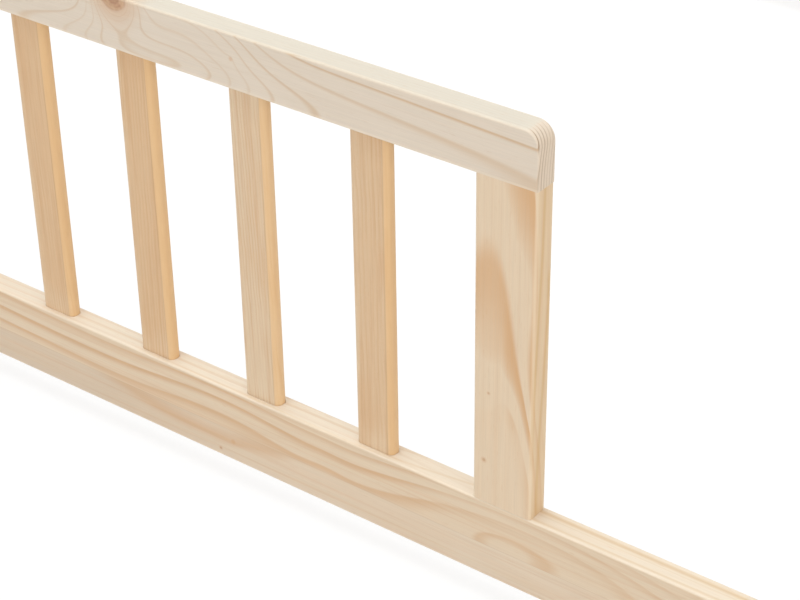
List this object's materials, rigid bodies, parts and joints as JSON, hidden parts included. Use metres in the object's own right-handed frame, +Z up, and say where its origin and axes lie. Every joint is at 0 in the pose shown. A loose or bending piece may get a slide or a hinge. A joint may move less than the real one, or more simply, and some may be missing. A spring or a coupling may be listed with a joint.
{
  "type": "house bed",
  "caption": "Pine floor bed for a child: corner posts carry an open gable roof and a slatted fence round the mattress, with a low entry beside a round-ended guard rail.",
  "frame": {"origin": "on the floor, under the middle of the bed", "axes": "+X from the head to the foot along the bed, +Y from the entry side to the rear, +Z up"},
  "size_m": [2.025, 1.11, 1.56],
  "materials": {
    "pine_fence": "sanded, bare",
    "pine_frame": "sanded, bare",
    "beech_dowel": "fluted, bare",
    "zinc_steel": "zinc plated"
  },
  "bodies": {
    "root": {"barrel_nuts": "zinc_steel", "beam_dowels": "beech_dowel", "eave_beam_front": "pine_frame", "eave_beam_rear": "pine_frame", "end_board_dowels": "beech_dowel", "foot_bottom_rail": "pine_fence", "foot_slats": "pine_fence", "foot_top_rail": "pine_fence", "front_bottom_rail": "pine_fence", "front_end_board": "pine_fence", "front_slat_01": "pine_fence", "front_slat_02": "pine_fence", "front_slat_03": "pine_fence", "front_slat_04": "pine_fence", "front_slat_05": "pine_fence", "front_slat_06": "pine_fence", "front_slat_07": "pine_fence", "front_slat_08": "pine_fence", "front_slat_09": "pine_fence", "front_slat_10": "pine_fence", "front_slat_11": "pine_fence", "front_top_rail": "pine_fence", "head_bottom_rail": "pine_fence", "head_slats": "pine_fence", "head_top_rail": "pine_fence", "post_front_foot": "pine_frame", "post_front_head": "pine_frame", "post_rear_foot": "pine_frame", "post_rear_head": "pine_frame", "rafter_front_foot": "pine_frame", "rafter_front_head": "pine_frame", "rafter_rear_foot": "pine_frame", "rafter_rear_head": "pine_frame", "rail_bolts": "zinc_steel", "rail_dowels": "beech_dowel", "rear_bottom_rail": "pine_fence", "rear_slat_01": "pine_fence", "rear_slat_02": "pine_fence", "rear_slat_03": "pine_fence", "rear_slat_04": "pine_fence", "rear_slat_05": "pine_fence", "rear_slat_06": "pine_fence", "rear_slat_07": "pine_fence", "rear_slat_08": "pine_fence", "rear_slat_09": "pine_fence", "rear_slat_10": "pine_fence", "rear_slat_11": "pine_fence", "rear_slat_12": "pine_fence", "rear_slat_13": "pine_fence", "rear_slat_14": "pine_fence", "rear_slat_15": "pine_fence", "rear_slat_16": "pine_fence", "rear_slat_17": "pine_fence", "rear_top_rail": "pine_fence", "ridge_beam": "pine_frame", "roof_bolts": "zinc_steel"}
  },
  "joints": []
}
